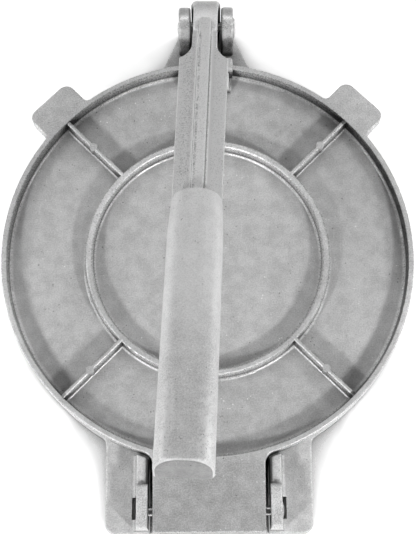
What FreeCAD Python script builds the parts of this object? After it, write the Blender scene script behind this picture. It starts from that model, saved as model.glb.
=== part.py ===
import FreeCAD, Part
import math
import os

# A cast aluminium tortilla press, closed, with its lever lying over the upper plate.
# Millimetres and degrees. The origin is on the plates' axis at the level of the table.
# +Y points from the plates to the lever's clevis, +Z points up.

# Shared sizes
overrun = 2.0
sink = 1.0
running_clearance = 0.05
rest_clearance = 0.25
cast_round = 0.8
shortest_edge = 0.00001
flat_tolerance = 0.0001
full_turn = 360.0
quarter_turn = 90.0

# Both plates
plate_radius = 101.5
rim_overhang = 0.5
parting_height = 18.0
plate_height = 12.0
plate_floor_thickness = 4.0
seam_round = 0.8
rim_top_width = 2.6
rim_draft = 0.9
rim_foot_round = 1.9

# Ring and radial ribs, on the upper plate's top and again under the base
ring_radius = 58.5
ring_top_width = 3.0
ring_drop = 0.8
ring_draft = 0.7
ring_foot_round = 1.3
rib_count = 4
rib_first_angle = 45.0
rib_top_width = 1.9
rib_drop = 0.7
rib_draft = 0.6
rib_foot_round = 0.9
ejector_boss_radius = 1.9
ejector_boss_place = 80.5

# Thumb tabs of the upper plate
tab_angles = (45.5, 134.5)
tab_width = 27.0
tab_reach = 13.7
tab_corner_round = 4.8
tab_foot_round = 2.6
tab_thickness = 7.0

# Hinge tongue of the upper plate
tongue_width = 53.2
tongue_foot_round = 6.0
tongue_corner_round = 1.2
knuckle_round = 6.5

# Rear hinge pin
hinge_setback = 22.2
hinge_height = 24.0
hinge_tail = 10.2
hinge_pin_radius = 2.2
hinge_head_radius = 4.3
hinge_head_thickness = 1.1
hinge_play = 2.2

# Rear ears and wings of the base
ear_thickness = 5.4
ear_front_length = 12.1
ear_rear_length = 8.7
ear_top_over_pin = 6.8
ear_draft = 0.8
ear_inner_round = 1.6
ear_outer_round = 0.9
ear_end_round = 2.2
ear_foot_round = 1.8
gusset_drop = 3.6
gusset_reach = 30.0
gusset_inner_round = 3.6
wing_width = 12.6
wing_corner_round = 4.6
wing_foot_round = 8.0
wing_edge_round = 1.0
pocket_width = 2.6
pocket_length = 10.4
pocket_depth = 3.2

# Underside of the base
base_floor_thickness = 4.5
skirt_thickness = 3.6
skirt_draft = 1.2
underside_drop = 1.0
tail_wall = 4.0
tail_draft = 1.6

# Front clevis of the base
pivot_setout = 19.7
pivot_height = 30.0
clevis_gap = 15.7
clevis_ear_thickness = 6.1
clevis_ear_radius = 10.4
clevis_edge_round = 1.3
clevis_slot_gap = 1.3
flare_spread = 8.4
flare_back = 18.6
flare_round = 14.0
clevis_corner_round = 2.4
clevis_side_margin = 0.5

# Bearing pad on the upper plate's rim, with the saddle that the lever presses
pad_width = 26.8
pad_front = 2.4
pad_depth = 7.6
pad_rise = 2.0
pad_underside_gap = 2.0
pad_corner_round = 1.6
saddle_width = 18.6
saddle_reach = 16.5
side_rib_place = 10.8
side_rib_reach = 13.2
side_rib_top_width = 1.5
side_rib_drop = 0.6

# Lever, measured along the arm from its pivot
lever_pitch = 20.0
lever_yaw = 2.3
lever_length = 256.2
nose_width = 12.4
nose_end_width = 15.0
nose_swell_start = 2.0
nose_swell_end = 8.5
nose_radius = 13.7
nose_edge_round = 1.4
flange_width = 24.4
flange_end_width = 23.2
flange_top = 8.6
flange_thickness = 6.2
flange_start = 29.4
flange_edge_round = 0.5
flange_corner_round = 1.0
shoulder_start = 25.4
shoulder_round = 11.4
ridge_rise = 4.1
ridge_foot_width = 6.9
ridge_draft = 0.7
ridge_crown_round = 0.9
ridge_foot_round = 1.3
foot_place = 31.0
foot_radius = 5.0
foot_front_run = 4.6
foot_rear_run = 46.0
grip_start = 119.0
grip_swell = 17.0
grip_front_width = 23.4
grip_width = 25.4
grip_height = 17.8
grip_crown_round = 11.0
grip_base_round = 2.0
grip_end_round = 1.9

# Lever pin
lever_pin_radius = 2.3
lever_head_radius = 5.3
lever_head_thickness = 2.1
lever_tail_radius = 2.9
lever_tail_thickness = 1.1
head_dome_share = 0.7

# Levels and places that follow from the sizes above
base_radius = plate_radius - rim_overhang
hinge_y = -plate_radius - hinge_setback
pivot_y = plate_radius + pivot_setout
plate_top = parting_height + plate_height
plate_floor = parting_height + plate_floor_thickness
rim_inner_radius = plate_radius - rim_top_width
hinge_end_y = hinge_y - hinge_tail
ear_inner_x = tongue_width / 2 + hinge_play
ear_outer_x = ear_inner_x + ear_thickness
wing_outer_x = ear_outer_x + ear_draft + ear_foot_round + wing_width
clevis_inner_x = clevis_gap / 2
clevis_outer_x = clevis_inner_x + clevis_ear_thickness
pad_top = plate_top + pad_rise


# Geometry helpers
def point(x, y, z):
    return FreeCAD.Vector(x, y, z)


def corner_reaches(plane, radii):
    """How far each corner's arc reaches along its two sides, kept within those sides."""
    count = len(plane)
    spans = [(plane[(i + 1) % count] - plane[i]).Length for i in range(count)]
    reaches = []
    for i, radius in enumerate(radii):
        turn = (plane[i - 1] - plane[i]).getAngle(plane[(i + 1) % count] - plane[i])
        reaches.append(radius / math.tan(turn / 2) if radius else 0)
    wanted = [reaches[i] + reaches[(i + 1) % count] for i in range(count)]
    limits = [min(1, spans[i] / max(wanted[i], spans[i])) for i in range(count)]
    return [reach * min(limits[i - 1], limits[i]) for i, reach in enumerate(reaches)]


def rounded_wire(corners, place):
    """A closed wire of lines and arcs. A corner is (a, b, radius), and place(a, b) is its point in space."""
    count = len(corners)
    plane = [point(a, b, 0) for a, b, _ in corners]
    reaches = corner_reaches(plane, [radius for _, _, radius in corners])
    arcs = []
    for i, reach in enumerate(reaches):
        back = (plane[i - 1] - plane[i]).normalize()
        ahead = (plane[(i + 1) % count] - plane[i]).normalize()
        middle = plane[i]
        if reach:
            half = back.getAngle(ahead) / 2
            to_arc = reach / math.cos(half) - reach * math.tan(half)
            middle = plane[i] + (back + ahead).normalize() * to_arc
        arcs.append((plane[i] + back * reach, middle, plane[i] + ahead * reach))
    edges = []
    for i, arc in enumerate(arcs):
        if reaches[i]:
            edges.append(Part.Arc(*[place(p.x, p.y) for p in arc]).toShape())
        following = arcs[(i + 1) % count][0]
        if (following - arc[2]).Length > shortest_edge:
            edges.append(Part.LineSegment(place(arc[2].x, arc[2].y), place(following.x, following.y)).toShape())
    return Part.Wire(edges)


def extruded(wire, direction):
    return Part.Face(wire).extrude(direction)


def plan_prism(corners, bottom, top):
    """A prism with a plan outline of (x, y, radius) corners."""
    return extruded(rounded_wire(corners, lambda x, y: point(x, y, bottom)), point(0, 0, top - bottom))


def side_prism(corners, left, right):
    """A prism along X with a side outline of (y, z, radius) corners."""
    return extruded(rounded_wire(corners, lambda y, z: point(left, y, z)), point(right - left, 0, 0))


def front_prism(corners, rear, front):
    """A prism along Y with a front outline of (x, z, radius) corners."""
    return extruded(rounded_wire(corners, lambda x, z: point(x, rear, z)), point(0, front - rear, 0))


def turned(corners):
    """A body of revolution about Z with a section of (radius, z, corner radius) corners."""
    face = Part.Face(rounded_wire(corners, lambda r, z: point(r, 0, z)))
    return face.revolve(point(0, 0, 0), point(0, 0, 1), full_turn)


def box(left, right, rear, front, bottom, top):
    return Part.makeBox(right - left, front - rear, top - bottom, point(left, rear, bottom))


def cross_bar(radius, left, right, y, z):
    """A cylinder along X."""
    return Part.makeCylinder(radius, right - left, point(left, y, z), point(1, 0, 0))


def mirrored(shape):
    return shape.mirror(point(0, 0, 0), point(1, 0, 0))


def spun(shape, angle):
    copy = shape.copy()
    copy.rotate(point(0, 0, 0), point(0, 0, 1), angle)
    return copy


def joined(first, *others):
    return first.fuse(list(others)).removeSplitter()


def filleted(shape, radius, chosen):
    return shape.makeFillet(radius, [edge for edge in shape.Edges if chosen(edge)])


def level(edge, z):
    """Whether an edge lies in the horizontal plane at z."""
    box_of_edge = edge.BoundBox
    return abs(box_of_edge.ZMin - z) < flat_tolerance and abs(box_of_edge.ZMax - z) < flat_tolerance


def hat_corners(foot_half, top_half, foot, top, crown_round, foot_round, bottom):
    """The section of a raised rib with drafted sides, a rounded crown and foot fillets."""
    brim = foot_half + foot_round
    right = [(brim, bottom, 0), (brim, foot, 0), (foot_half, foot, foot_round), (top_half, top, crown_round)]
    return right + [(-across, z, radius) for across, z, radius in reversed(right)]


def arm_corners(half_width, reach, corner_round, foot_round, host_radius):
    """The plan outline of an arm along +Y that leaves a disc with a fillet on each side."""
    center_x = half_width + foot_round
    center_y = math.sqrt((host_radius + foot_round) ** 2 - center_x ** 2)
    on_disc_share = host_radius / (host_radius + foot_round)
    turn = math.atan2(center_x, center_y)
    crossing = foot_round * math.tan((math.pi / 2 - turn) / 2)
    right = [
        (half_width, reach, corner_round),
        (half_width, center_y - crossing, foot_round),
        (center_x * on_disc_share, center_y * on_disc_share, 0),
    ]
    return right + [(-x, y, radius) for x, y, radius in reversed(right)]


def flipped(corners):
    """The same outline on the other side of the X axis."""
    return [(x, -y, radius) for x, y, radius in corners]


# Raised ring with foot fillets, on a floor at the given level; up is 1 above the floor and -1 below it
def make_ring(floor, height, up):
    section = hat_corners(
        ring_top_width / 2 + ring_draft, ring_top_width / 2, floor, floor + up * height,
        cast_round, ring_foot_round, floor - up * sink,
    )
    return turned([(ring_radius + across, z, radius) for across, z, radius in section])


# Radial rib with foot fillets, from the ring to the rim
def make_radial_rib(floor, height, up, end_radius):
    section = hat_corners(
        rib_top_width / 2 + rib_draft, rib_top_width / 2, floor, floor + up * height,
        cast_round, rib_foot_round, floor - up * sink,
    )
    return front_prism(section, ring_radius, end_radius)


def rib_angles():
    """Turns from +Y for the ribs, evenly spaced."""
    return [rib_first_angle + full_turn * i / rib_count for i in range(rib_count)]


# Upper plate: disc with hinge tongue and thumb tabs, flush on top, softened along the top edge
def make_plate_blank():
    disc = turned([
        (0, parting_height, 0), (plate_radius, parting_height, seam_round),
        (plate_radius, plate_top, 0), (0, plate_top, 0),
    ])
    tongue_plan = flipped(arm_corners(
        tongue_width / 2, -hinge_end_y, tongue_corner_round, tongue_foot_round, plate_radius))
    tongue_side = [
        (hinge_end_y, parting_height, knuckle_round),
        (hinge_end_y, plate_top + overrun, 0),
        (0, plate_top + overrun, 0),
        (0, parting_height, 0),
    ]
    tongue = plan_prism(tongue_plan, parting_height, plate_top)
    tongue = tongue.common(side_prism(tongue_side, -plate_radius, plate_radius))
    tab = plan_prism(
        arm_corners(tab_width / 2, plate_radius + tab_reach, tab_corner_round, tab_foot_round, plate_radius),
        plate_top - tab_thickness, plate_top)
    tabs = [spun(tab, angle - quarter_turn) for angle in tab_angles]
    blank = joined(disc, tongue, *tabs)
    return filleted(blank, cast_round, lambda edge: level(edge, plate_top))


# Recess inside the rim, cut down to the floor
def make_plate_recess():
    foot_radius_inside = rim_inner_radius - rim_draft
    return turned([
        (0, plate_floor, 0),
        (foot_radius_inside, plate_floor, rim_foot_round),
        (rim_inner_radius, plate_top, cast_round / 2),
        (rim_inner_radius + cast_round, plate_top, 0),
        (rim_inner_radius + cast_round, plate_top + overrun, 0),
        (0, plate_top + overrun, 0),
    ])


# Bearing pad across the front of the rim, with the saddle behind it and a rib on each side
def make_pad():
    pad_end = plate_radius + pad_front
    pad_start = pad_end - pad_depth
    half = pad_width / 2
    pad = plan_prism(
        [(-half, pad_start, 0), (half, pad_start, 0), (half, pad_end, pad_corner_round),
         (-half, pad_end, pad_corner_round)],
        parting_height + pad_underside_gap, pad_top)
    pad = filleted(pad, cast_round, lambda edge: level(edge, pad_top))
    saddle_start = pad_end - saddle_reach
    saddle_side = [
        (saddle_start, plate_floor - sink, 0),
        (saddle_start, pad_top, cast_round),
        (pad_start + sink, pad_top, 0),
        (pad_start + sink, plate_floor - sink, 0),
    ]
    saddle = side_prism(saddle_side, -saddle_width / 2, saddle_width / 2)
    return pad.fuse([saddle] + make_side_ribs())


def make_side_ribs():
    """The two drafted ribs that run in from the pad beside the lever."""
    height = plate_height - plate_floor_thickness - side_rib_drop
    section = hat_corners(
        side_rib_top_width / 2 + rib_draft, side_rib_top_width / 2, plate_floor, plate_floor + height,
        cast_round, rib_foot_round, plate_floor - sink,
    )
    placed = [(side_rib_place + across, z, radius) for across, z, radius in section]
    start = plate_radius - side_rib_reach
    rib = front_prism(placed, start, rim_inner_radius)
    return [rib, mirrored(rib)]


# Upper plate, complete
def make_upper_plate():
    height = plate_height - plate_floor_thickness
    plate = make_plate_blank().cut(make_plate_recess())
    raised = [make_ring(plate_floor, height - ring_drop, 1), make_pad()]
    boss = Part.makeCylinder(
        ejector_boss_radius, height - rib_drop, point(0, ejector_boss_place, plate_floor))
    rib = make_radial_rib(plate_floor, height - rib_drop, 1, rim_inner_radius + sink / 2)
    for angle in rib_angles():
        raised += [spun(rib, angle), spun(boss, angle)]
    plate = joined(plate, *raised)
    bore = cross_bar(
        hinge_pin_radius + running_clearance, -plate_radius, plate_radius, hinge_y, hinge_height)
    return plate.cut(bore)


# Base: pressing disc, tail for the hinge and block for the clevis, softened along the top edge
def make_base_blank():
    disc = Part.makeCylinder(base_radius, parting_height, point(0, 0, 0))
    tail = plan_prism(
        flipped(arm_corners(wing_outer_x, -hinge_end_y, wing_corner_round, wing_foot_round, base_radius)),
        0, parting_height)
    blank = joined(disc, tail, plan_prism(clevis_block_corners(), 0, parting_height))
    blank = filleted(blank, wing_edge_round, lambda edge: level(edge, parting_height))
    behind_draft = [
        (hinge_end_y - overrun, 0, 0),
        (hinge_end_y + tail_draft, 0, 0),
        (hinge_end_y, parting_height - wing_edge_round, 0),
        (hinge_end_y - overrun, parting_height - wing_edge_round, 0),
    ]
    return blank.cut(side_prism(behind_draft, -base_radius, base_radius))


def clevis_block_corners():
    """Plan of the front block, flaring out from the ears to meet the disc along a tangent."""
    half = clevis_outer_x + clevis_side_margin
    front = pivot_y + clevis_ear_radius
    flare_x = half + flare_spread
    flare_y = pivot_y - flare_back
    away = math.hypot(flare_x, flare_y)
    bearing = math.atan2(flare_x, flare_y) + math.acos(min(1, base_radius / away))
    right = [
        (half, front, clevis_corner_round),
        (half, pivot_y, clevis_ear_radius),
        (flare_x, flare_y, flare_round),
        (base_radius * math.sin(bearing), base_radius * math.cos(bearing), 0),
    ]
    return right + [(-x, y, radius) for x, y, radius in reversed(right)]


# Clevis ears, rounded about the lever pin
def make_clevis_ear():
    top = pivot_height + clevis_ear_radius
    side = [
        (pivot_y - clevis_ear_radius, sink, 0),
        (pivot_y - clevis_ear_radius, top, clevis_ear_radius),
        (pivot_y + clevis_ear_radius, top, clevis_ear_radius),
        (pivot_y + clevis_ear_radius, sink, 0),
    ]
    ear = side_prism(side, clevis_inner_x, clevis_outer_x)
    return filleted(ear, clevis_edge_round, lambda edge: edge.BoundBox.ZMax > pivot_height)


# Rear ear with the gusset that runs from it to the disc
def make_rear_ear():
    ear_top = hinge_height + ear_top_over_pin
    ear = front_prism(ear_section(ear_top, ear_inner_round), hinge_end_y, hinge_y + ear_front_length)
    ear_side = [
        (hinge_y - ear_rear_length, 0, 0),
        (hinge_y - ear_rear_length, ear_top, ear_end_round),
        (hinge_y + ear_front_length, ear_top, ear_end_round),
        (hinge_y + ear_front_length, 0, 0),
    ]
    ear = ear.common(side_prism(ear_side, 0, plate_radius))
    gusset = front_prism(
        ear_section(ear_top - gusset_drop, gusset_inner_round), hinge_y, hinge_y + gusset_reach)
    clear_of_plate = Part.makeCylinder(
        plate_radius + ear_foot_round, plate_height + overrun, point(0, 0, parting_height))
    return ear.fuse(gusset.cut(clear_of_plate))


def ear_section(top, inner_round):
    """The ear's section: upright inside, drafted outside, with a foot fillet on the wing."""
    foot_x = ear_outer_x + ear_draft
    return [
        (ear_inner_x, parting_height - sink, 0),
        (ear_inner_x, top, inner_round),
        (ear_outer_x, top, ear_outer_round),
        (foot_x, parting_height, ear_foot_round),
        (foot_x + ear_foot_round, parting_height, 0),
        (foot_x + ear_foot_round, parting_height - sink, 0),
    ]


# Slot beside the ear that the pin's end stands in
def make_pin_pocket():
    middle = hinge_y + (ear_front_length - ear_rear_length) / 2
    return box(
        ear_outer_x, ear_outer_x + pocket_width, middle - pocket_length / 2, middle + pocket_length / 2,
        parting_height - pocket_depth, plate_top)


# Hollows under the base: inside the skirt and under the wings
def make_base_hollows():
    ceiling = parting_height - base_floor_thickness
    inner = base_radius - skirt_thickness
    disc_hollow = turned([
        (0, -overrun, 0), (inner, -overrun, 0), (inner, 0, 0),
        (inner - skirt_draft, ceiling, rim_foot_round), (0, ceiling, 0),
    ])
    wing_front = -math.sqrt(base_radius ** 2 - wing_outer_x ** 2)
    wing_rear = hinge_end_y + tail_wall
    wing = plan_prism(
        [(ear_inner_x + tail_wall, wing_rear, cast_round), (wing_outer_x - tail_wall, wing_rear, cast_round),
         (wing_outer_x - tail_wall, wing_front - tail_wall, cast_round),
         (ear_inner_x + tail_wall, wing_front - tail_wall, cast_round)],
        -overrun, ceiling)
    return [disc_hollow, wing, mirrored(wing)]


# Open notch between the wings, in which the tongue swings
def make_tail_notch():
    notch_front = -math.sqrt(base_radius ** 2 - ear_inner_x ** 2)
    gap = box(
        -ear_inner_x, ear_inner_x, hinge_end_y - overrun, notch_front, -overrun, parting_height + overrun)
    return gap.cut(Part.makeCylinder(base_radius, plate_top, point(0, 0, -overrun)))


# Base, complete
def make_base_plate():
    base = joined(make_base_blank(), make_clevis_ear(), mirrored(make_clevis_ear()))
    base = base.cut(make_base_hollows())
    height = parting_height - base_floor_thickness - underside_drop
    ceiling = parting_height - base_floor_thickness
    stiffeners = [make_ring(ceiling, height, -1)]
    rib = make_radial_rib(ceiling, height, -1, base_radius - skirt_thickness + sink)
    stiffeners += [spun(rib, angle) for angle in rib_angles()]
    ear = make_rear_ear()
    base = joined(base, *stiffeners, ear, mirrored(ear))
    slot_floor = pivot_height - nose_radius - clevis_slot_gap
    clevis_slot = box(
        -clevis_inner_x, clevis_inner_x, pivot_y - clevis_ear_radius, pivot_y + clevis_ear_radius + overrun,
        slot_floor, plate_top + clevis_ear_radius + overrun)
    pocket = make_pin_pocket()
    hinge_bore = cross_bar(
        hinge_pin_radius + running_clearance, -wing_outer_x, wing_outer_x, hinge_y, hinge_height)
    lever_bore = cross_bar(
        lever_pin_radius + running_clearance, -base_radius, base_radius, pivot_y, pivot_height)
    return base.cut([clevis_slot, make_tail_notch(), pocket, mirrored(pocket), hinge_bore, lever_bore])


# Lever, built level with its pivot at the origin and its arm along -Y
def make_flange():
    nose = nose_width / 2
    half = flange_width / 2
    end_half = flange_end_width / 2
    right = [
        (nose, 0, 0), (nose, -shoulder_start, shoulder_round), (half, -flange_start, flange_corner_round),
        (end_half, -grip_start - sink, 0),
    ]
    corners = right + [(-x, y, radius) for x, y, radius in reversed(right)]
    flange = plan_prism(corners, flange_top - flange_thickness, flange_top)
    return filleted(flange, flange_edge_round, is_flange_outline)


def is_flange_outline(edge):
    """Whether an edge is part of the flange's upper outline, apart from its two ends."""
    return level(edge, flange_top) and edge.BoundBox.XLength < flange_end_width / 2


def make_ridge():
    half = ridge_foot_width / 2
    section = hat_corners(
        half, half - ridge_draft, flange_top, flange_top + ridge_rise,
        ridge_crown_round, ridge_foot_round, flange_top - sink)
    return front_prism(section, -grip_start - sink, 0)


def tangent_contact(outside, center, radius, side):
    """Where a line from an outside point touches a circle, on the side given as 1 or -1."""
    away = point(outside[0] - center[0], outside[1] - center[1], 0)
    bearing = math.atan2(away.y, away.x) + side * math.acos(min(1, radius / away.Length))
    return (center[0] + radius * math.cos(bearing), center[1] + radius * math.sin(bearing))


def foot_drop():
    """How far below the pivot the pressing foot's centre is, so that the foot rests just over the pad."""
    pitch = math.radians(lever_pitch)
    center_height = pad_top + rest_clearance + foot_radius - pivot_height
    return (center_height - foot_place * math.sin(pitch)) / math.cos(pitch)


def make_pressing_foot():
    under = flange_top - flange_thickness
    center = (-foot_place, foot_drop())
    front = (-foot_place + foot_front_run, under)
    rear = (-foot_place - foot_rear_run, under)
    front_touch = tangent_contact(front, center, foot_radius, -1)
    rear_touch = tangent_contact(rear, center, foot_radius, 1)
    side = [front, front_touch, rear_touch, rear, (rear[0], under + sink), (front[0], under + sink)]
    half = nose_width / 2
    web = side_prism([(y, z, 0) for y, z in side], -half, half)
    return web.fuse(cross_bar(foot_radius, -half, half, *center))


def make_grip():
    stations = [
        (grip_start, grip_front_width), (grip_start + grip_swell, grip_width), (lever_length, grip_width)]
    wires = [grip_wire(along, width) for along, width in stations]
    grip = Part.makeLoft(wires, True, True)
    return filleted(grip, grip_end_round, lambda edge: edge.BoundBox.YMax < -lever_length + sink)


def grip_wire(along, width):
    """The grip's section: flat below, rounded above."""
    half = width / 2
    corners = [
        (half, 0, grip_base_round), (half, grip_height, grip_crown_round),
        (-half, grip_height, grip_crown_round), (-half, 0, grip_base_round),
    ]
    return rounded_wire(corners, lambda x, z: point(x, -along, z))


def make_barrel(width, edge_round):
    """The barrel round the lever pin, with its two rims rounded."""
    bar = cross_bar(nose_radius, -width / 2, width / 2, 0, 0)
    return filleted(bar, edge_round, lambda edge: edge.Closed)


def make_nose_end():
    """The barrel's far end, which widens until it almost fills the gap between the ears."""
    half = nose_width / 2
    end_half = nose_end_width / 2
    right = [
        (half, nose_swell_start, 0), (end_half, nose_swell_end, nose_swell_end - nose_swell_start),
        (end_half, nose_radius + sink, 0),
    ]
    outline = right + [(-x, y, radius) for x, y, radius in reversed(right)]
    barrel = make_barrel(nose_end_width, nose_edge_round + end_half - half)
    return barrel.common(plan_prism(outline, -nose_radius - sink, nose_radius + sink))


def make_press_lever():
    nose = make_barrel(nose_width, nose_edge_round)
    lever = joined(nose, make_flange(), make_ridge(), make_pressing_foot(), make_grip())
    lever.rotate(point(0, 0, 0), point(0, 0, 1), -lever_yaw)
    lever = joined(lever, make_nose_end())
    lever = lever.cut(cross_bar(lever_pin_radius + running_clearance, -flange_width, flange_width, 0, 0))
    lever.rotate(point(0, 0, 0), point(1, 0, 0), -lever_pitch)
    lever.translate(point(0, pivot_y, pivot_height))
    return lever


# Pins, along X
def domed_head(radius, thickness, start, end_sign, y, z):
    """A low rivet head on the plane x = start: a short cylinder under a spherical cap."""
    cap_rise = thickness * head_dome_share
    ball_radius = (radius ** 2 + cap_rise ** 2) / (2 * cap_rise)
    end = start + end_sign * thickness
    ball = Part.makeSphere(ball_radius, point(end - end_sign * ball_radius, y, z))
    return cross_bar(radius, min(start, end), max(start, end), y, z).common(ball)


def make_hinge_pin():
    right = ear_outer_x
    shank = cross_bar(hinge_pin_radius, -ear_outer_x, right, hinge_y, hinge_height)
    head = domed_head(hinge_head_radius, hinge_head_thickness, right, 1, hinge_y, hinge_height)
    return joined(shank, head)


def make_lever_pin():
    shank = cross_bar(lever_pin_radius, -clevis_outer_x, clevis_outer_x, pivot_y, pivot_height)
    head = domed_head(lever_head_radius, lever_head_thickness, clevis_outer_x, 1, pivot_y, pivot_height)
    tail = domed_head(lever_tail_radius, lever_tail_thickness, -clevis_outer_x, -1, pivot_y, pivot_height)
    return joined(shank, head, tail)


os.makedirs("parts", exist_ok=True)
pieces = {
    "base_plate": make_base_plate,
    "upper_plate": make_upper_plate,
    "press_lever": make_press_lever,
    "hinge_pin": make_hinge_pin,
    "lever_pin": make_lever_pin,
}
for name, make in pieces.items():
    shape = make()
    solids = shape.Solids
    print(name, len(solids), "solid", shape.isValid(), "valid, volume", round(shape.Volume, 1))
    (solids[0] if len(solids) == 1 else shape).exportStep("parts/" + name + ".step")
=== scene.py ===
"""A closed cast aluminium tortilla press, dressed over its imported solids.

Lengths are in metres, and a zone's windows and collars in millimetres. The frame is that of the
solids: the origin is on the plates' axis at table level, +Y runs from the rear hinge to the lever's
clevis and +Z points up out of the upper plate.
"""

import logging
import math
from dataclasses import dataclass
from enum import Enum

import bmesh
import bpy
from mathutils import Matrix, Vector


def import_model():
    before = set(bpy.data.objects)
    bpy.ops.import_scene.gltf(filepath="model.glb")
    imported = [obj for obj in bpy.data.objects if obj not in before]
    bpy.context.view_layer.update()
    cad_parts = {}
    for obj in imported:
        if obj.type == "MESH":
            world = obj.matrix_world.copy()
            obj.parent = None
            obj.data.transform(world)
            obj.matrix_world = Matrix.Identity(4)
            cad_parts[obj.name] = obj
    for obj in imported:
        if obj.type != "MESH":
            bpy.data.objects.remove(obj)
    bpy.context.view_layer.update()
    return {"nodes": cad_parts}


LOG = logging.getLogger("tortilla_press")

MM = 0.001

Socket = bpy.types.NodeSocket


class Slot(Enum):
    """The material slots of the part's record."""

    CASTING = "cast_aluminium"
    STEEL = "steel_pin"


@dataclass(frozen=True)
class Span:
    """Where a value starts to count, and where it counts in full."""

    start: float
    end: float


@dataclass(frozen=True)
class Pattern:
    """A noise pattern: cells for each metre, finer layers, their strength, and the span in use."""

    scale: float
    detail: float
    roughness: float
    span: Span = Span(0.0, 1.0)


# How finely the shader looks for walls and for edges
OPENNESS_SAMPLES = 8
EDGE_SAMPLES = 6

# Directions in the frame. The arm's run along and across the closed lever.
UP = (0.0, 0.0, 1.0)
UP_TIPPED_FORWARD = (0.0, 0.02, 1.0)
FRONT = (0.0, 1.0, 0.0)
RIGHT = (1.0, 0.0, 0.0)
ARM = (-0.0376, -0.9389, 0.3420)
ARM_SIDE = (0.9992, -0.0401, 0.0)

# What keeps a place's X and Y, and drops its Z
ONTO_TABLE = (1.0, 1.0, 0.0)


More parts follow.
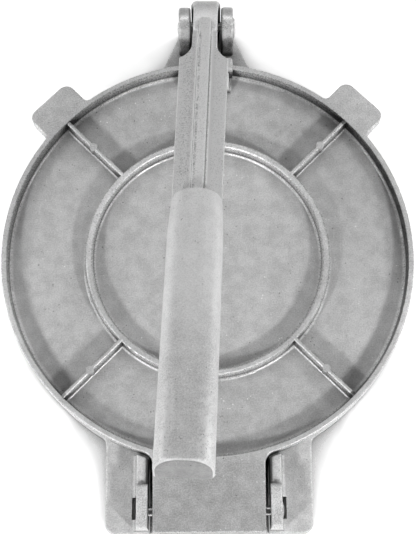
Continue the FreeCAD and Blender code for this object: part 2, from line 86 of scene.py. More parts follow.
class Graph:
    """A short way to write the nodes of a material or a world."""

    def __init__(self, owner: bpy.types.Material | bpy.types.World) -> None:
        """Takes over the owner's node tree and empties it.

        Args:
            owner: The new material or world.
        """
        self.owner = owner
        owner.use_nodes = True
        self.tree = owner.node_tree
        self.tree.nodes.clear()

    def add(self, kind: str, **settings: object) -> bpy.types.Node:
        """Adds a node.

        Args:
            kind: The node's type.
            settings: Properties by name, and under `inputs` the values of unlinked inputs by name.

        Returns:
            The new node.
        """
        inputs = settings.pop("inputs", {})
        node = self.tree.nodes.new(kind)
        for key, value in settings.items():
            setattr(node, key, value)
        for key, value in inputs.items():
            node.inputs[key].default_value = value
        return node

    def link(self, source: Socket, target: Socket) -> None:
        """Joins two sockets."""
        self.tree.links.new(source, target)

    def operate(self, kind: str, operation: str, values: tuple) -> bpy.types.Node:
        """Adds a node that works on values.

        Args:
            kind: The node's type.
            operation: What it does, by the node's own name for it.
            values: Its inputs in order, each a socket, a number or a vector.

        Returns:
            The new node.
        """
        node = self.add(kind, operation=operation)
        for place, value in enumerate(values):
            if isinstance(value, Socket):
                self.link(value, node.inputs[place])
            else:
                node.inputs[place].default_value = value
        return node

    def math(self, operation: str, *values: object) -> Socket:
        """The result of a sum on numbers and sockets."""
        return self.operate("ShaderNodeMath", operation, values).outputs["Value"]

    def vectors(self, operation: str, result: str, *values: object) -> Socket:
        """The named result of a sum on vectors."""
        return self.operate("ShaderNodeVectorMath", operation, values).outputs[result]

    def product(self, *values: object) -> Socket:
        """Multiplies numbers and sockets, of which the first is a socket.

        Args:
            values: The numbers and sockets.

        Returns:
            The socket that holds the product.
        """
        result = values[0]
        for value in values[1:]:
            result = self.math("MULTIPLY", result, value)
        return result

    def object_coordinates(self) -> Socket:
        """The piece's own coordinates, in metres."""
        return self.add("ShaderNodeTexCoord").outputs["Object"]

    def facing_up(self) -> Socket:
        """How level the piece's surface is.

        Returns:
            A value from 0 on an upright wall to 1 on a level face.
        """
        parts = self.add("ShaderNodeSeparateXYZ")
        self.link(self.add("ShaderNodeTexCoord").outputs["Normal"], parts.inputs["Vector"])
        return self.math("ABSOLUTE", parts.outputs["Z"])

    def openness(self, distance: float, own: bool = True) -> Socket:
        """How open the surface is.

        Args:
            distance: How far away a wall still counts.
            own: Whether only the piece's own walls count.

        Returns:
            A value from 0 deep in a corner or a gap to 1 in the open.
        """
        node = self.add(
            "ShaderNodeAmbientOcclusion",
            samples=OPENNESS_SAMPLES,
            only_local=own,
            inputs={"Distance": distance},
        )
        return node.outputs["AO"]

    def along(self, direction: tuple) -> Socket:
        """How far a point lies along a direction from the frame's origin, in metres."""
        return self.vectors("DOT_PRODUCT", "Value", self.object_coordinates(), direction)

    def from_axis(self) -> Socket:
        """How far a point lies from the plates' axis, in metres."""
        level = self.vectors("MULTIPLY", "Vector", self.object_coordinates(), ONTO_TABLE)
        return self.vectors("LENGTH", "Value", level)

    def edge_bend(self, radius: float) -> Socket:
        """How much the surface turns near a point.

        Args:
            radius: How far round the point it looks.

        Returns:
            A value of 0 on a flat face, and more across an edge.
        """
        bevel = self.add("ShaderNodeBevel", samples=EDGE_SAMPLES, inputs={"Radius": radius})
        flat = self.add("ShaderNodeNewGeometry").outputs["Normal"]
        across = self.vectors("DOT_PRODUCT", "Value", bevel.outputs["Normal"], flat)
        return self.math("SUBTRACT", 1.0, across)

    def stretched(self, where: Socket, turn: float, squeeze: tuple) -> Socket:
        """Coordinates turned about Z and squeezed along each axis, for marks that run one way.

        Args:
            where: The coordinates.
            turn: The turn, in degrees.
            squeeze: The scale along X, Y and Z.

        Returns:
            The socket that holds the new coordinates.
        """
        node = self.add(
            "ShaderNodeMapping",
            inputs={"Rotation": (0.0, 0.0, math.radians(turn)), "Scale": squeeze},
        )
        self.link(where, node.inputs["Vector"])
        return node.outputs["Vector"]

    def noise(self, where: Socket, pattern: Pattern) -> Socket:
        """A pattern's bare noise.

        Args:
            where: The coordinates that it reads.
            pattern: The pattern.

        Returns:
            A value from 0 to 1, centred on 0.5.
        """
        node = self.add(
            "ShaderNodeTexNoise",
            inputs={
                "Scale": pattern.scale,
                "Detail": pattern.detail,
                "Roughness": pattern.roughness,
            },
        )
        self.link(where, node.inputs["Vector"])
        return node.outputs["Fac"]

    def ramp(self, value: Socket, span: Span, low: float = 0.0, high: float = 1.0) -> Socket:
        """Carries a value smoothly across a span, and holds it at the span's ends.

        Args:
            value: The value.
            span: The span.
            low: The result where the span starts.
            high: The result where it ends.

        Returns:
            The socket that holds the result.
        """
        node = self.add(
            "ShaderNodeMapRange",
            interpolation_type="SMOOTHSTEP",
            inputs={
                "From Min": span.start,
                "From Max": span.end,
                "To Min": low,
                "To Max": high,
            },
        )
        self.link(value, node.inputs["Value"])
        return node.outputs["Result"]

    def pattern(
        self, where: Socket, pattern: Pattern, low: float = 0.0, high: float = 1.0
    ) -> Socket:
        """A pattern's noise, carried across its span from low to high."""
        return self.ramp(self.noise(where, pattern), pattern.span, low, high)

    def between(self, place: Socket, start: float, end: float, fade: float) -> Socket:
        """One where a length lies in a stretch, faded at both ends, and zero outside it.

        Args:
            place: The length, in metres.
            start: Where the stretch starts, in millimetres.
            end: Where it ends.
            fade: Half the width of the fade at each end.

        Returns:
            The socket that holds the mask.
        """
        rise = self.ramp(place, Span((start - fade) * MM, (start + fade) * MM))
        fall = self.ramp(place, Span((end - fade) * MM, (end + fade) * MM), 1.0, 0.0)
        return self.product(rise, fall)

    def bump(self, height: Socket) -> Socket:
        """The normal of a surface with a height in metres.

        Args:
            height: The height.

        Returns:
            The socket that holds the normal.
        """
        node = self.add("ShaderNodeBump", inputs={"Strength": 1.0, "Distance": 1.0})
        self.link(height, node.inputs["Height"])
        return node.outputs["Normal"]

    def metal(self, metallic: float, grey: Socket, rough: Socket, normal: Socket) -> None:
        """Joins a grey, a roughness and a normal to a metal shader and to the output.

        Args:
            metallic: How bare the metal is, from 0 under a dull skin to 1.
            grey: The metal's grey.
            rough: Its roughness.
            normal: The bumped normal.
        """
        color = self.add("ShaderNodeCombineColor")
        for channel in ("Red", "Green", "Blue"):
            self.link(grey, color.inputs[channel])
        shader = self.add("ShaderNodeBsdfPrincipled", inputs={"Metallic": metallic})
        self.link(color.outputs["Color"], shader.inputs["Base Color"])
        self.link(rough, shader.inputs["Roughness"])
        self.link(normal, shader.inputs["Normal"])
        output = self.add("ShaderNodeOutputMaterial")
        self.link(shader.outputs["BSDF"], output.inputs["Surface"])


# Farther out than any point of the press, in millimetres
BEYOND = 400.0

# Patterns of the cast skin
NOISE_MIDDLE = 0.5
GRAIN = Pattern(scale=1500.0, detail=3.0, roughness=0.7, span=Span(0.30, 0.70))
CLOUDS = Pattern(scale=22.0, detail=3.0, roughness=0.5)
MOTTLE = Pattern(scale=130.0, detail=5.0, roughness=0.68, span=Span(0.34, 0.66))
SWELL = Pattern(scale=260.0, detail=2.0, roughness=0.5)

# Patches of a patchy zone, and how much of the zone is left between them
PATCHES = Pattern(scale=240.0, detail=4.0, roughness=0.65, span=Span(0.38, 0.60))
PATCH_GAPS = 0.15

# Pits and dings sit in cells of a scattered pattern. Few dings lie outside the clusters.
MARK_CELLS = 520.0
MARK_SIZE = Span(0.08, 0.26)
MARKED = Pattern(scale=210.0, detail=2.0, roughness=0.5)
PITTED = Span(0.58, 0.68)
DINGED = Span(0.44, 0.36)
CLUSTERS = Pattern(scale=34.0, detail=2.0, roughness=0.5, span=Span(0.50, 0.62))
LONE_DINGS = 0.12

# Scratches are streaks of a squeezed pattern
STREAKS = Pattern(scale=1.0, detail=1.0, roughness=0.5, span=Span(0.70, 0.78))
SCRATCH_TURNS = (24.0, 81.0, 148.0)
SCRATCH_SQUEEZE = (900.0, 55.0, 90.0)

# How open, how level and how bent the surface is where painted shade, gloss and rubbed edges begin
# and end
CORNERS = Span(0.15, 0.75)
SHELTERED = Span(0.65, 0.98)
GAPS = Span(0.45, 0.92)
OUTER_EDGES = Span(0.75, 1.0)
STEEP = Span(0.10, 0.50)
SLOPING = Span(0.80, 0.98)
BENT = Span(0.02, 0.25)

# Pattern of the pins, and about how long one ring of the wave texture is at a scale of 1
DRAWN_GRAIN = Pattern(scale=1500.0, detail=4.0, roughness=0.7)
RING_LENGTH = 0.3


@dataclass(frozen=True)
class Window:
    """A stretch between two planes across one direction, in millimetres, faded at both ends."""

    direction: tuple
    start: float
    end: float
    fade: float

    def mask(self, graph: Graph) -> Socket:
        """One inside the stretch and zero outside it."""
        return graph.between(graph.along(self.direction), self.start, self.end, self.fade)


@dataclass(frozen=True)
class Collar:
    """A stretch between two radii about the plates' axis, in millimetres, faded at both edges."""

    inner: float
    outer: float
    fade: float

    def mask(self, graph: Graph) -> Socket:
        """One inside the stretch and zero outside it."""
        return graph.between(graph.from_axis(), self.inner, self.outer, self.fade)


@dataclass(frozen=True)
class Zone:
    """A part of a casting, and what it adds to the tone, speckle and gloss of the rest."""

    windows: tuple
    tone: float = 0.0
    speckle: float = 0.0
    gloss: float = 0.0
    patchy: bool = False

    def mask(self, graph: Graph) -> Socket:
        """One where all the zone's windows meet, broken into patches where it is patchy.

        Args:
            graph: The material's nodes.

        Returns:
            The socket that holds the mask.
        """
        masks = [window.mask(graph) for window in self.windows]
        if self.patchy:
            masks.append(graph.pattern(graph.object_coordinates(), PATCHES, PATCH_GAPS))
        return graph.product(*masks)


@dataclass(frozen=True)
class CastAluminium:
    """Tumbled cast aluminium: mottled, with painted shade in its corners, gaps and walls, and with
    pits, dings and scratches.
    """

    tone: float
    metallic: float = 0.32
    roughness: float = 0.55
    mottle_contrast: float = 0.08
    grain_contrast: float = 0.20
    grain_roughness: float = 0.20
    grain_depth: float = 0.013 * MM
    pit_shade: float = 0.34
    pit_depth: float = 0.16 * MM
    ding_shine: float = 0.40
    ding_gloss: float = 0.15
    scratch_shine: float = 0.05
    corner_reach: float = 7.0 * MM
    # Painted shade in corners, on sheltered walls and in gaps between parts
    corner_painted_shade: float = 0.36
    wall_painted_shade: float = 0.92
    gap_reach: float = 8.0 * MM
    gap_painted_shade: float = 0.95
    edge_radius: float = 0.5 * MM
    edge_rub: float = 0.16
    edge_break: float = 0.5
    slope_gloss: float = 0.0
    palest: float = 0.96
    darkest: float = 0.02
    zones: tuple = ()

    def build(self, name: str) -> bpy.types.Material:
        """Makes the material.

        Args:
            name: The material's name.

        Returns:
            The material.
        """
        graph = Graph(bpy.data.materials.new(name))
        where = graph.object_coordinates()
        grain = graph.pattern(where, GRAIN)
        pits, dings = self._marks(graph, where)
        scratches = self._scratches(graph, where)
        masks = [zone.mask(graph) for zone in self.zones]
        grey = self._tone(graph, where, grain, masks)
        grey = graph.math("SUBTRACT", grey, graph.product(pits, self.pit_shade))
        grey = graph.math("ADD", grey, graph.product(dings, self.ding_shine))
        grey = graph.math("ADD", grey, graph.product(scratches, self.scratch_shine))
        # Painted shade darkens the grey in corners, in gaps and on the walls beside them
        grey = graph.product(grey, self._painted_shade(graph))
        grey = graph.math("ADD", grey, self._rubbed_edges(graph, grain))
        grey = graph.math("MINIMUM", grey, self.palest)
        grey = graph.math("MAXIMUM", grey, self.darkest)
        rough = self._rough(graph, grain, dings, masks)
        relief = self._relief(graph, where, grain, pits, scratches)
        graph.metal(self.metallic, grey, rough, relief)
        return graph.owner

    def _tone(self, graph: Graph, where: Socket, grain: Socket, masks: list) -> Socket:
        """The metal's grey, with broad clouds, a mottle, a fine grain and the zones' own tones.

        Args:
            graph: The material's nodes.
            where: The piece's coordinates.
            grain: The grain, from 0 to 1.
            masks: The zones' masks.

        Returns:
            The socket that holds the grey.
        """
        clouds = graph.math("SUBTRACT", graph.noise(where, CLOUDS), NOISE_MIDDLE)
        mottle = graph.pattern(where, MOTTLE, -NOISE_MIDDLE, NOISE_MIDDLE)
        grey = graph.math("ADD", self.tone, graph.product(clouds, self.mottle_contrast / 2))
        grey = graph.math("ADD", grey, graph.product(mottle, self.mottle_contrast))
        contrast = self.grain_contrast
        for zone, mask in zip(self.zones, masks):
            grey = graph.math("ADD", grey, graph.product(mask, zone.tone))
            contrast = graph.math("ADD", graph.product(mask, zone.speckle), contrast)
        fine = graph.product(graph.math("SUBTRACT", grain, NOISE_MIDDLE), contrast)
        return graph.math("ADD", grey, fine)

    def _rough(self, graph: Graph, grain: Socket, dings: Socket, masks: list) -> Socket:
        """The metal's roughness, less on dings, on slopes and in glossy zones.

        Args:
            graph: The material's nodes.
            grain: The grain, from 0 to 1.
            dings: The dings, from 0 to 1.
            masks: The zones' masks.

        Returns:
            The socket that holds the roughness.
        """
        smoothest = self.roughness - self.grain_roughness / 2
        rough = graph.math("MULTIPLY_ADD", grain, self.grain_roughness, smoothest)
        rough = graph.math("SUBTRACT", rough, graph.product(dings, self.ding_gloss))
        sloping = graph.ramp(graph.facing_up(), SLOPING, self.slope_gloss, 0.0)
        rough = graph.math("SUBTRACT", rough, sloping)
        for zone, mask in zip(self.zones, masks):
            if zone.gloss:
                rough = graph.math("SUBTRACT", rough, graph.product(mask, zone.gloss))
        return rough

    @staticmethod
    def _marks(graph: Graph, where: Socket) -> tuple:
        """Dark pits and pale dings, in scattered clusters.

        Args:
            graph: The material's nodes.
            where: The piece's coordinates.

        Returns:
            The pits and the dings, each from 0 to 1.
        """
        cells = graph.add("ShaderNodeTexVoronoi", inputs={"Scale": MARK_CELLS})
        graph.link(where, cells.inputs["Vector"])
        near = graph.ramp(cells.outputs["Distance"], MARK_SIZE, 1.0, 0.0)
        marked = graph.noise(where, MARKED)
        pits = graph.product(near, graph.ramp(marked, PITTED))
        dings = graph.product(near, graph.ramp(marked, DINGED))
        return pits, graph.product(dings, graph.pattern(where, CLUSTERS, LONE_DINGS))

    @staticmethod
    def _scratches(graph: Graph, where: Socket) -> Socket:
        """Hairline scratches in three directions, broken up along their length.

        Args:
            graph: The material's nodes.
            where: The piece's coordinates.

        Returns:
            The scratches, from 0 to 1.
        """
        lines = 0.0
        for turn in SCRATCH_TURNS:
            run = graph.stretched(where, turn, SCRATCH_SQUEEZE)
            lines = graph.math("MAXIMUM", lines, graph.pattern(run, STREAKS))
        return lines

    def _painted_shade(self, graph: Graph) -> Socket:
        """Painted shade: how much of the grey is left in corners, in gaps and on the walls beside
        them.

        Args:
            graph: The material's nodes.

        Returns:
            A share of 1 in the open, and less where shade is painted.
        """
        open_share = graph.openness(self.corner_reach)
        steep = graph.ramp(graph.facing_up(), STEEP, 1.0, 0.0)
        sheltered = graph.ramp(open_share, SHELTERED, 1.0, 0.0)
        corner = graph.product(graph.ramp(open_share, CORNERS, 1.0, 0.0), self.corner_painted_shade)
        wall = graph.product(steep, sheltered, self.wall_painted_shade)
        tight = graph.ramp(graph.openness(self.gap_reach, own=False), GAPS, self.gap_painted_shade, 0.0)
        shade = graph.math("MAXIMUM", corner, wall)
        shade = graph.math("MAXIMUM", shade, graph.product(steep, tight))
        return graph.math("SUBTRACT", 1.0, shade)

    def _rubbed_edges(self, graph: Graph, grain: Socket) -> Socket:
        """Bright metal on the outer edges, where the tumbling has rubbed them.

        Args:
            graph: The material's nodes.
            grain: The grain, from 0 to 1, which breaks the edges up.

        Returns:
            What the rubbing adds to the grey.
        """
        bent = graph.ramp(graph.edge_bend(self.edge_radius), BENT)
        outer = graph.ramp(graph.openness(self.edge_radius * 2), OUTER_EDGES)
        broken = graph.math("MULTIPLY_ADD", grain, self.edge_break, 1.0 - self.edge_break)
        return graph.product(bent, outer, broken, self.edge_rub)

    def _relief(
        self, graph: Graph, where: Socket, grain: Socket, pits: Socket, scratches: Socket
    ) -> Socket:
        """The bumped normal: a faint swell, the grain, the pits and the scratches.

        Args:
            graph: The material's nodes.
            where: The piece's coordinates.
            grain: The grain, from 0 to 1.
            pits: The pits, from 0 to 1.
            scratches: The scratches, from 0 to 1.

        Returns:
            The socket that holds the normal.
        """
        height = graph.product(graph.noise(where, SWELL), self.grain_depth * 2)
        height = graph.math("ADD", height, graph.product(grain, self.grain_depth))
        height = graph.math("SUBTRACT", height, graph.product(pits, self.pit_depth))
        height = graph.math("SUBTRACT", height, graph.product(scratches, self.grain_depth))
        return graph.bump(height)


# Base: a painted highlight on the crowns of the clevis ears, painted shade on their backs, and tops
# of the rear ears
CLEVIS_EAR_PAINTED_HIGHLIGHT = Zone(
    (Window(FRONT, 116.0, 123.0, 1.5), Window(UP, 36.0, BEYOND, 1.0)),
    tone=0.26,
    speckle=0.1,
    gloss=0.32,
)
# Painted shade on the backs of the clevis ears
CLEVIS_EAR_PAINTED_SHADE = Zone(
    (Window(FRONT, 100.0, 113.0, 2.5), Window(UP, 20.0, 36.0, 2.0)), tone=-0.50, speckle=0.1
)
REAR_EAR_TOPS = Zone(
    (Window(FRONT, -BEYOND, -110.0, 1.0), Window(UP, 27.0, BEYOND, 0.5)), tone=0.02, speckle=0.1
)
BASE_FINISH = CastAluminium(
    tone=0.75,
    mottle_contrast=0.17,
    grain_contrast=0.26,
    edge_rub=0.34,
    zones=(CLEVIS_EAR_PAINTED_HIGHLIGHT, CLEVIS_EAR_PAINTED_SHADE, REAR_EAR_TOPS),
)

# Upper plate: painted light on the tops of rim and ring, painted shade on the rim's inner wall, the
# hinge tongue, the floors of the front and rear recesses, and painted light on the side rib beside
# the bearing pad
RIM_WALL = (Collar(96.7, 99.6, 0.3), Window(UP, 23.8, 29.6, 0.3))
FLOOR_LEVEL = Window(UP, 21.0, 23.0, 0.5)
# Painted light on the raised tops of rim and ring
RAISED_TOPS_PAINTED_LIGHT = Zone((Window(UP_TIPPED_FORWARD, 29.2, BEYOND, 0.3),), tone=0.14, speckle=0.10)
RING_FRONT = Zone((Window(UP, 29.0, 31.0, 0.3), Window(FRONT, 45.0, 90.0, 2.0)), tone=-0.05)
# Painted shade on the rim's inner wall, darker on its right
RIM_WALL_PAINTED_SHADE = Zone(RIM_WALL, tone=-0.22)
RIGHT_RIM_WALL_PAINTED_SHADE = Zone((*RIM_WALL, Window(RIGHT, 55.0, 110.0, 15.0)), tone=-0.36)
TONGUE = Zone((Window(FRONT, -BEYOND, -100.0, 3.0),), tone=-0.12, speckle=0.05)
FRONT_RECESS = Zone((Window(FRONT, 48.0, 95.0, 8.0), FLOOR_LEVEL), tone=-0.06)
REAR_RECESS = Zone((Window(FRONT, -95.0, -48.0, 8.0), FLOOR_LEVEL), tone=-0.06)
# Painted light on the side rib beside the bearing pad
SIDE_RIB_PAINTED_LIGHT = Zone(
    (Window(FRONT, 86.0, 98.0, 0.5), Window(RIGHT, 9.0, 13.0, 0.4), Window(UP, 23.5, 34.0, 0.5)),
    tone=0.35,
    speckle=0.1,
    gloss=0.15,
)
PLATE_FINISH = CastAluminium(
    tone=0.65,
    mottle_contrast=0.12,
    edge_rub=0.26,
    slope_gloss=0.25,
    zones=(
        RAISED_TOPS_PAINTED_LIGHT,
        RING_FRONT,
        RIM_WALL_PAINTED_SHADE,
        RIGHT_RIM_WALL_PAINTED_SHADE,
        TONGUE,
        FRONT_RECESS,
        REAR_RECESS,
        SIDE_RIB_PAINTED_LIGHT,
    ),
)

# Lever: painted light on its front half up to the grip, painted shade on the sides of the ridge on
# its flange with a painted highlight beside each, the flange's scuffed left, and the grip's end
# with lighter, glossier shoulders before it
FLANGE = Window(ARM, -88.0, 15.0, 1.0)
BEFORE_END = Window(ARM, -BEYOND, 151.6, 0.3)
# Painted light on the lever's front half
FRONT_HALF_PAINTED_LIGHT = Zone((Window(ARM, -BEYOND, 15.0, 1.0),), tone=0.08, speckle=0.24)
# Painted highlights beside the ridge, and painted shade on its sides
LEFT_RIDGE_PAINTED_HIGHLIGHT = Zone((FLANGE, Window(ARM_SIDE, -9.0, -7.9, 0.25)), tone=0.20, gloss=0.20)
LEFT_RIDGE_PAINTED_SHADE = Zone(
    (FLANGE, Window(ARM_SIDE, -7.8, -6.6, 0.3)), tone=-0.36, speckle=0.1, patchy=True
)
RIGHT_RIDGE_PAINTED_SHADE = Zone((FLANGE, Window(ARM_SIDE, -2.2, -1.4, 0.3)), tone=-0.30, speckle=0.1)
RIGHT_RIDGE_PAINTED_HIGHLIGHT = Zone(
    (FLANGE, Window(ARM_SIDE, -1.3, 0.0, 0.25)), tone=0.20, speckle=-0.2, gloss=-0.10
)
FLANGE_SCUFFS = Zone(
    (FLANGE, Window(ARM_SIDE, -14.5, -10.0, 2.0)), tone=-0.12, speckle=0.3, patchy=True
)
END_FACE = Zone((Window(ARM, 152.4, BEYOND, 0.1),), tone=-0.56, speckle=-0.1)
END_RIM = Zone((Window(ARM, 151.4, 152.4, 0.2),), tone=-0.14)
REAR_OF_GRIP = Zone((Window(ARM, 90.0, BEYOND, 25.0), BEFORE_END), tone=-0.15, speckle=0.1)
# Lighter, glossier patches on the grip's shoulders before its end
BRIGHT_RIGHT_SHOULDER = Zone(
    (Window(ARM, 128.0, BEYOND, 24.0), BEFORE_END, Window(ARM_SIDE, 0.4, 5.0, 1.6)),
    tone=0.44,
    speckle=0.2,
    gloss=0.26,
    patchy=True,
)
BRIGHT_LEFT_SHOULDER = Zone(
    (Window(ARM, 122.0, BEYOND, 28.0), BEFORE_END, Window(ARM_SIDE, -15.0, -10.6, 1.4)),
    tone=0.44,
    speckle=0.2,
    gloss=0.28,
    patchy=True,
)
LEVER_FINISH = CastAluminium(
    tone=0.88,
    zones=(
        FRONT_HALF_PAINTED_LIGHT,
        LEFT_RIDGE_PAINTED_HIGHLIGHT,
        LEFT_RIDGE_PAINTED_SHADE,
        RIGHT_RIDGE_PAINTED_SHADE,
        RIGHT_RIDGE_PAINTED_HIGHLIGHT,
        FLANGE_SCUFFS,
        END_FACE,
        END_RIM,
        REAR_OF_GRIP,
        BRIGHT_RIGHT_SHOULDER,
        BRIGHT_LEFT_SHOULDER,
    ),
)


@dataclass(frozen=True)
class PinSteel:
    """Bright steel wire, cut and peened, with faint rings from drawing."""

    tone: float = 0.82
    metallic: float = 1.0
    roughness: float = 0.30
    grain_contrast: float = 0.2
    grain_depth: float = 0.02 * MM
    ring_pitch: float = 0.35 * MM
    ring_wander: float = 2.0
    ring_detail: float = 2.0
    ring_roughness: float = 0.12

    def build(self, name: str) -> bpy.types.Material:
        """Makes the material.

        Args:
            name: The material's name.

        Returns:
            The material.
        """
        graph = Graph(bpy.data.materials.new(name))
        where = graph.object_coordinates()
        grain = graph.noise(where, DRAWN_GRAIN)
        wave = graph.add(
            "ShaderNodeTexWave",
            bands_direction="X",
            inputs={
                "Scale": RING_LENGTH / self.ring_pitch,
                "Distortion": self.ring_wander,
                "Detail": self.ring_detail,
            },
        )
        graph.link(where, wave.inputs["Vector"])
        rings = wave.outputs["Fac"]
        darkest = self.tone - self.grain_contrast / 2
        smoothest = self.roughness - self.ring_roughness / 2
        grey = graph.math("MULTIPLY_ADD", grain, self.grain_contrast, darkest)
        rough = graph.math("MULTIPLY_ADD", rings, self.ring_roughness, smoothest)
        height = graph.product(graph.math("ADD", grain, rings), self.grain_depth)
        graph.metal(self.metallic, grey, rough, graph.bump(height))
        return graph.owner


@dataclass
class Casting:
    """One casting of the press, shown by its own solid."""

    node: str
    finish: CastAluminium

    def dress(self, nodes: dict[str, bpy.types.Object]) -> bpy.types.Object:
        """Gives the casting its finish.

        Args:
            nodes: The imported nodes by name.

        Returns:
            The dressed object.
        """
        piece = nodes[self.node]
        piece.data.materials[0] = self.finish.build(self.node + "_casting")
        return piece


@dataclass
class Pin:
    """One steel pin, shown by its own solid."""

    node: str
    finish: PinSteel

    def dress(self, nodes: dict[str, bpy.types.Object]) -> bpy.types.Object:
        """Gives the pin its finish.

        Args:
            nodes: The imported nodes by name.

        Returns:
            The dressed object.
        """
        piece = nodes[self.node]
        piece.data.materials[0] = self.finish.build(self.node + "_steel")
        return piece


@dataclass(frozen=True)
class SoftBox:
    """A square soft box that looks at the frame's origin.

    Its bearing runs from the front towards the right, and its rise is over the table, in degrees.
    """

    bearing: float
    rise: float
    distance: float
    size: float
    power: float

    def build(self) -> None:
        """Makes the lamp, which the camera doesn't see."""
        lamp = bpy.data.lights.new("soft_box", "AREA")
        lamp.shape = "SQUARE"
        lamp.size = self.size
        lamp.energy = self.power
        box = bpy.data.objects.new("soft_box", lamp)
        rise = math.radians(self.rise)
        bearing = math.radians(self.bearing)
        level = math.cos(rise)
        away = Vector((math.sin(bearing) * level, math.cos(bearing) * level, math.sin(rise)))
        turn = away.to_track_quat("Z", "Y").to_matrix().to_4x4()
        box.visible_camera = False
        box.matrix_world = Matrix.Translation(away * self.distance) @ turn
        bpy.context.scene.collection.objects.link(box)


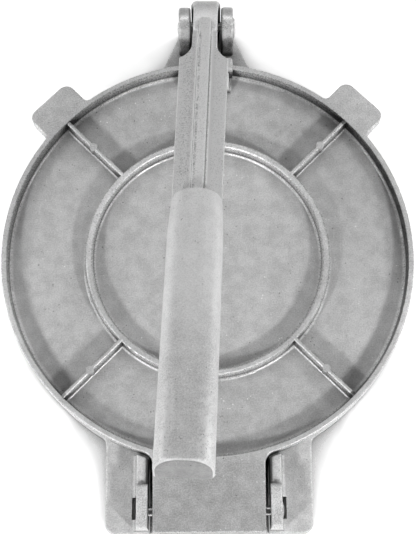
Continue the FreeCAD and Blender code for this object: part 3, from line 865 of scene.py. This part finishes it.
@dataclass
class Studio:
    """A pale floor, an even sky and soft boxes round the press."""

    floor_reach: float = 4.0
    floor_tone: float = 0.8
    floor_glow: float = 0.75
    shadow_reach: float = 60.0 * MM
    shadow: Span = Span(0.48, 0.62)
    deep_shadow: Span = Span(0.22, 0.44)
    deep_tone: float = 0.04
    sky_overhead: float = 0.04
    sky_low: float = 0.03
    sky_rise: Span = Span(0.1, 0.9)
    boxes: tuple = (
        SoftBox(bearing=0.0, rise=47.0, distance=1.1, size=0.60, power=1.5),
        SoftBox(bearing=-140.0, rise=34.0, distance=1.0, size=0.11, power=3.9),
        SoftBox(bearing=140.0, rise=34.0, distance=1.0, size=0.11, power=4.3),
        SoftBox(bearing=-100.0, rise=31.0, distance=0.38, size=0.04, power=0.19),
        SoftBox(bearing=100.0, rise=31.0, distance=0.38, size=0.04, power=0.18),
        SoftBox(bearing=-40.0, rise=39.0, distance=0.44, size=0.06, power=0.11),
        SoftBox(bearing=40.0, rise=39.0, distance=0.44, size=0.06, power=0.15),
    )

    def build(self) -> None:
        """Makes the floor, the sky and the lamps."""
        self._floor()
        self._sky()
        for box in self.boxes:
            box.build()

    def _floor(self) -> None:
        """A plane that shows white, with the press's shadow painted into its glow, and painted dark
        deep under it.
        """
        mesh = bpy.data.meshes.new("floor")
        shape = bmesh.new()
        bmesh.ops.create_grid(shape, x_segments=1, y_segments=1, size=self.floor_reach)
        shape.to_mesh(mesh)
        shape.free()
        floor = bpy.data.objects.new("floor", mesh)
        bpy.context.scene.collection.objects.link(floor)
        graph = Graph(bpy.data.materials.new("pale_floor"))
        # Painted shadow: the glow fades and the colour darkens where the press shades the floor
        open_share = graph.openness(self.shadow_reach, own=False)
        tone = graph.ramp(open_share, self.deep_shadow, self.deep_tone, self.floor_tone)
        diffuse = graph.add("ShaderNodeBsdfDiffuse")
        graph.link(tone, diffuse.inputs["Color"])
        bare = graph.ramp(open_share, self.shadow, 0.0, self.floor_glow)
        glow = graph.add("ShaderNodeEmission")
        graph.link(graph.product(self._seen_rays(graph), bare), glow.inputs["Strength"])
        both = graph.add("ShaderNodeAddShader")
        graph.link(diffuse.outputs["BSDF"], both.inputs[0])
        graph.link(glow.outputs["Emission"], both.inputs[1])
        output = graph.add("ShaderNodeOutputMaterial")
        graph.link(both.outputs["Shader"], output.inputs["Surface"])
        mesh.materials.append(graph.owner)

    @staticmethod
    def _seen_rays(graph: Graph) -> Socket:
        """Tells what is seen from what is lit.

        Args:
            graph: The floor's nodes.

        Returns:
            One for the camera and for what shiny and clear surfaces show, and zero for light.
        """
        path = graph.add("ShaderNodeLightPath")
        seen = graph.math("MAXIMUM", path.outputs["Is Camera Ray"], path.outputs["Is Glossy Ray"])
        return graph.math("MAXIMUM", seen, path.outputs["Is Transmission Ray"])

    def _sky(self) -> None:
        """Even light, a little stronger overhead, that is white where the camera sees it."""
        world = bpy.data.worlds.new("studio_sky")
        graph = Graph(world)
        parts = graph.add("ShaderNodeSeparateXYZ")
        graph.link(graph.add("ShaderNodeTexCoord").outputs["Generated"], parts.inputs["Vector"])
        light = graph.add(
            "ShaderNodeMapRange",
            inputs={
                "From Min": self.sky_rise.start,
                "From Max": self.sky_rise.end,
                "To Min": self.sky_low,
                "To Max": self.sky_overhead,
            },
        )
        graph.link(parts.outputs["Z"], light.inputs["Value"])
        path = graph.add("ShaderNodeLightPath")
        seen = graph.math("MAXIMUM", light.outputs["Result"], path.outputs["Is Camera Ray"])
        back = graph.add("ShaderNodeBackground")
        graph.link(seen, back.inputs["Strength"])
        output = graph.add("ShaderNodeOutputWorld")
        graph.link(back.outputs["Background"], output.inputs["Surface"])
        bpy.context.scene.world = world


@dataclass
class PhotoCamera:
    """The camera of the photograph, over the press and a little behind it, looking down.

    Its aim is the pixel under the plates' axis. The tilt and the roll are in degrees.
    """

    image_width: float = 416.0
    image_height: float = 534.0
    focal_pixels: float = 1364.0
    aim_pixel_x: float = 207.5
    aim_pixel_y: float = 254.5
    distance: float = 670.0 * MM
    aim_height: float = 30.0 * MM
    tilt: float = 15.6
    roll: float = 0.4
    sensor: float = 36.0

    def build(self) -> None:
        """Makes the camera and sets it as the scene's own."""
        data = bpy.data.cameras.new("photo_camera")
        data.sensor_fit = "HORIZONTAL"
        data.sensor_width = self.sensor
        data.lens = self.sensor * self.focal_pixels / self.image_width
        data.shift_x = (self.image_width / 2 - self.aim_pixel_x) / self.image_width
        data.shift_y = (self.aim_pixel_y - self.image_height / 2) / self.image_width
        camera = bpy.data.objects.new("photo_camera", data)
        tilt = math.radians(self.tilt)
        behind = self.distance * math.sin(tilt)
        height = self.aim_height + self.distance * math.cos(tilt)
        turn = Matrix.Rotation(tilt, 4, "X") @ Matrix.Rotation(math.radians(-self.roll), 4, "Z")
        camera.matrix_world = Matrix.Translation(Vector((0.0, -behind, height))) @ turn
        bpy.context.scene.collection.objects.link(camera)
        bpy.context.scene.camera = camera


def main() -> None:
    """Builds the dressed press, the studio and the camera."""
    logging.basicConfig(level=logging.INFO, format="%(message)s")
    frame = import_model()
    bpy.context.scene.view_settings.view_transform = "Standard"
    pieces = [
        Casting("base_plate", BASE_FINISH),
        Casting("upper_plate", PLATE_FINISH),
        Casting("press_lever", LEVER_FINISH),
        Pin("hinge_pin", PinSteel()),
        Pin("lever_pin", PinSteel()),
    ]
    for piece in pieces:
        LOG.info("dressed %s", piece.dress(frame["nodes"]).name)
    Studio().build()
    PhotoCamera().build()


if __name__ == "__main__":
    main()
